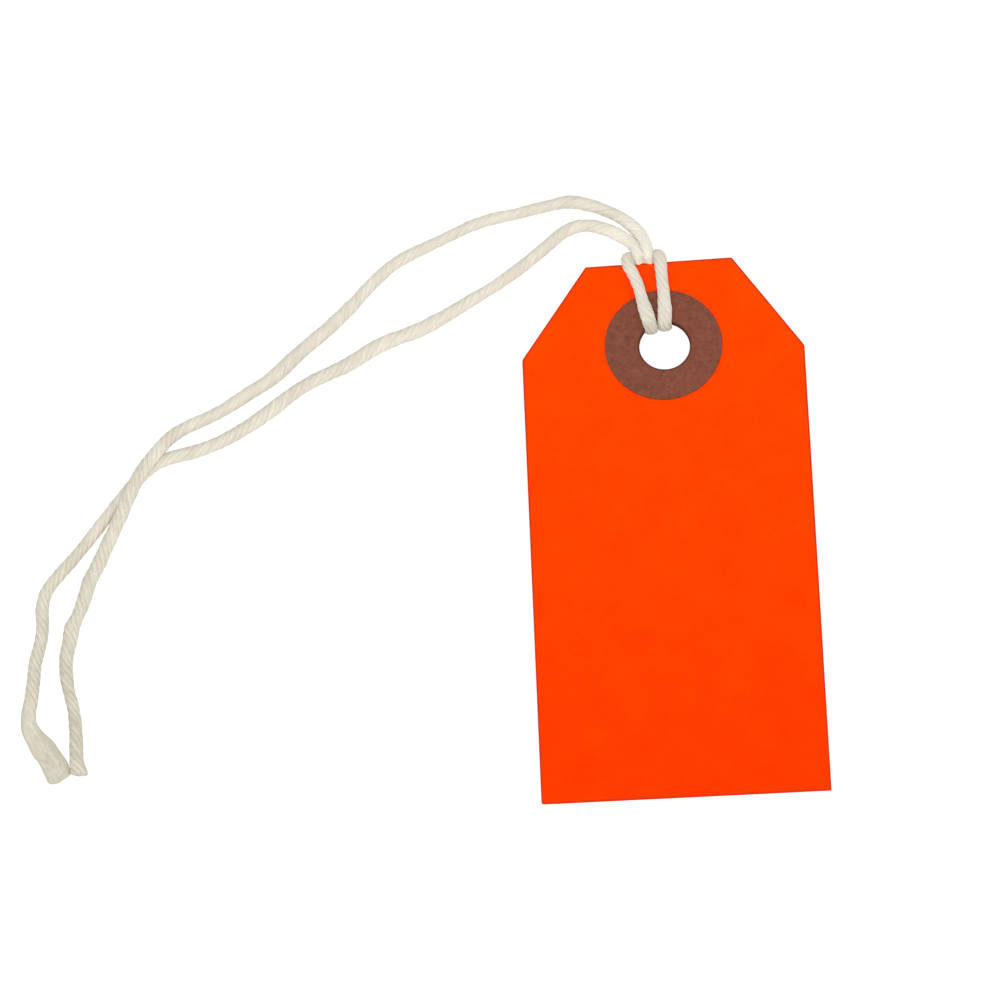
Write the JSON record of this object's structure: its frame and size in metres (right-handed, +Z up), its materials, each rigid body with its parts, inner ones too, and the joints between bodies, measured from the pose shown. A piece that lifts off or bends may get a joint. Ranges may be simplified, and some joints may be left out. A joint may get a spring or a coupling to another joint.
{
  "type": "gift tag",
  "caption": "Rectangular card tag with clipped top corners, a fibre-patched eyelet and a twisted cotton string hitched through it, lying flat with its tails loose.",
  "frame": {"origin": "on the table, under the middle of the card: centre of the underside of the box round the card and its patches", "axes": "+X across the card to the right as seen from its front, +Y along the card towards the eyelet, +Z up out of the front face. The eyelet end is lifted 1.9 degrees by the string under it."},
  "size_m": [0.0979, 0.0805, 0.0041],
  "materials": {
    "card": "matte",
    "eyelet_fibre": "matte",
    "string": "matte"
  },
  "bodies": {
    "tag": {"tag_card": "card", "front_eyelet_patch": "eyelet_fibre", "rear_eyelet_patch": "eyelet_fibre", "string_hitch": "string"},
    "string_neck": {"string_neck_left": "string", "string_neck_right": "string"},
    "string_tails": {"string_tail_left": "string", "string_tail_right": "string"}
  },
  "joints": [
    {"name": "string_swing", "type": "hinge", "parent": "tag", "child": "string_neck", "pos_m": [-0.00175, 0.03875, 0.0018], "axis": [0, 0, 1], "range_deg": [-105, 15]},
    {"name": "string_lift", "type": "hinge", "parent": "string_neck", "child": "string_tails", "pos_m": [-0.0089, 0.0431, 0.00082], "axis": [0, 1, 0], "range_deg": [0, 90]}
  ]
}
